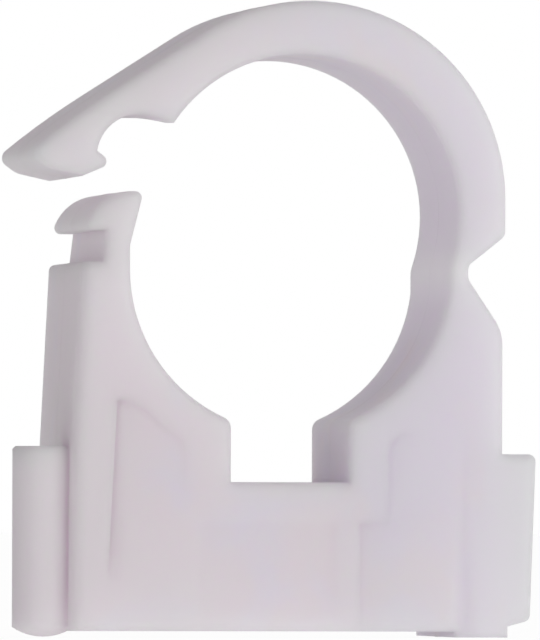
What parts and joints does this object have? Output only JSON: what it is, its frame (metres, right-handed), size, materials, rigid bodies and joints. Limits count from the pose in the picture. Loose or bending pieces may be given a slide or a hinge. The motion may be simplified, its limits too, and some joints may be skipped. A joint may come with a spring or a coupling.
{
  "type": "pipe clip",
  "caption": "Hinge-over snap clip that holds a round pipe on a wall: slotted saddle base, living hinge, hooked arm over a domed post head, and a sliding side interlock.",
  "frame": {"origin": "where the axis of the screw hole leaves the underside of the base", "axes": "+Z away from the wall, along the screw hole; +Y along the pipe, into the clip from its front face; +X from the hook towards the hinge"},
  "size_m": [0.0355, 0.015, 0.0431],
  "materials": {
    "clip_plastic": "moulded white polypropylene, soft satin"
  },
  "bodies": {
    "root": {"pipe_clip": "clip_plastic"}
  },
  "joints": []
}
